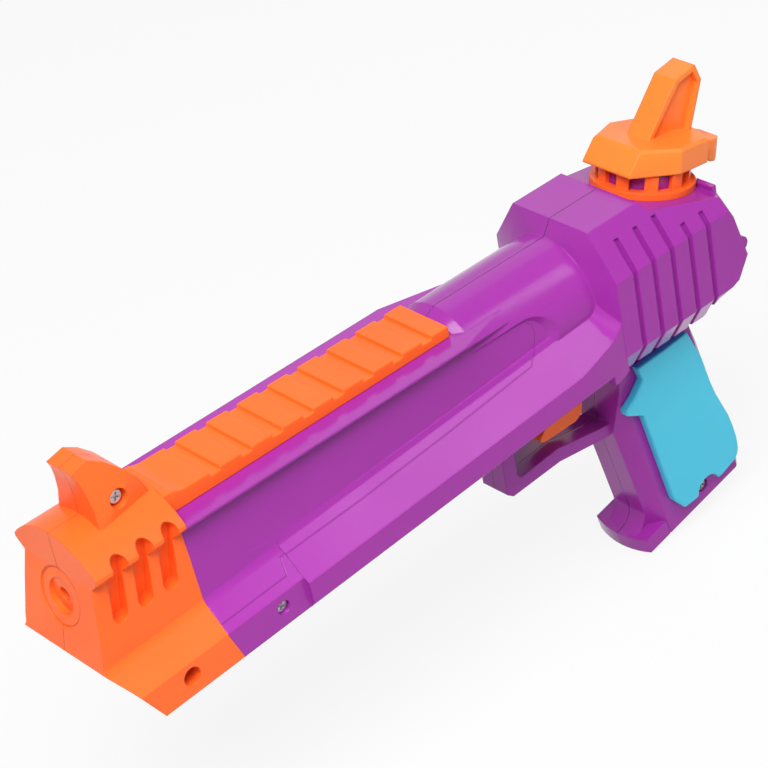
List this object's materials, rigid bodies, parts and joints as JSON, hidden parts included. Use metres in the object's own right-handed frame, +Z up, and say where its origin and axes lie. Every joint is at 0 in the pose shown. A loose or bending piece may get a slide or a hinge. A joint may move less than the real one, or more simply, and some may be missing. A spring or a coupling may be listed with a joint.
{
  "type": "water squirter",
  "caption": "Pistol-shaped trigger-pump water squirter with a ported muzzle, ribbed top rail, inner tank, twist-off filler cap and grip panels.",
  "frame": {"origin": "centre of the nozzle mouth", "axes": "+X runs back from the nozzle to the rear, +Y to the right as held, +Z up"},
  "size_m": [0.2911, 0.063, 0.1685],
  "materials": {
    "purple_plastic": "glossy",
    "orange_plastic": "satin",
    "teal_plastic": "satin",
    "white_plastic": "matte",
    "neck_plastic": "glossy",
    "tube_plastic": "matte",
    "steel": "bright",
    "seal_rubber": "matte"
  },
  "bodies": {
    "housing": {"left_shell": "purple_plastic", "right_shell": "purple_plastic", "muzzle_left_half": "orange_plastic", "muzzle_right_half": "orange_plastic", "top_rail": "orange_plastic", "left_grip_panel": "teal_plastic", "right_grip_panel": "teal_plastic", "pump_cylinder": "white_plastic", "valve_block": "white_plastic", "valve_balls": "steel", "delivery_tube": "tube_plastic", "nozzle_insert": "orange_plastic", "tank_lower": "white_plastic", "tank_upper": "neck_plastic", "cap_collar": "orange_plastic", "shell_screws": "steel", "muzzle_screws": "steel", "return_spring": "steel"},
    "trigger_unit": {"trigger": "orange_plastic", "piston_rod": "white_plastic", "piston_seal": "seal_rubber"},
    "stopper": {"cap_stopper": "white_plastic", "cap_seal": "seal_rubber"},
    "cap": {"fill_cap": "orange_plastic"}
  },
  "joints": [
    {"name": "trigger_pull", "type": "slide", "parent": "housing", "child": "trigger_unit", "axis": [1, 0, 0], "range_m": [0, 0.009], "stiffness_N_per_m": 250, "springref_m": -0.012, "deforming": ["return_spring"]},
    {"name": "cap_lift", "type": "slide", "parent": "housing", "child": "stopper", "axis": [0.2554, 0, 0.9668], "range_m": [0, 0.025]},
    {"name": "cap_turn", "type": "hinge", "parent": "stopper", "child": "cap", "pos_m": [0.2515, 0, 0.01506], "axis": [0.2554, 0, 0.9668], "range_deg": [0, 90]}
  ]
}
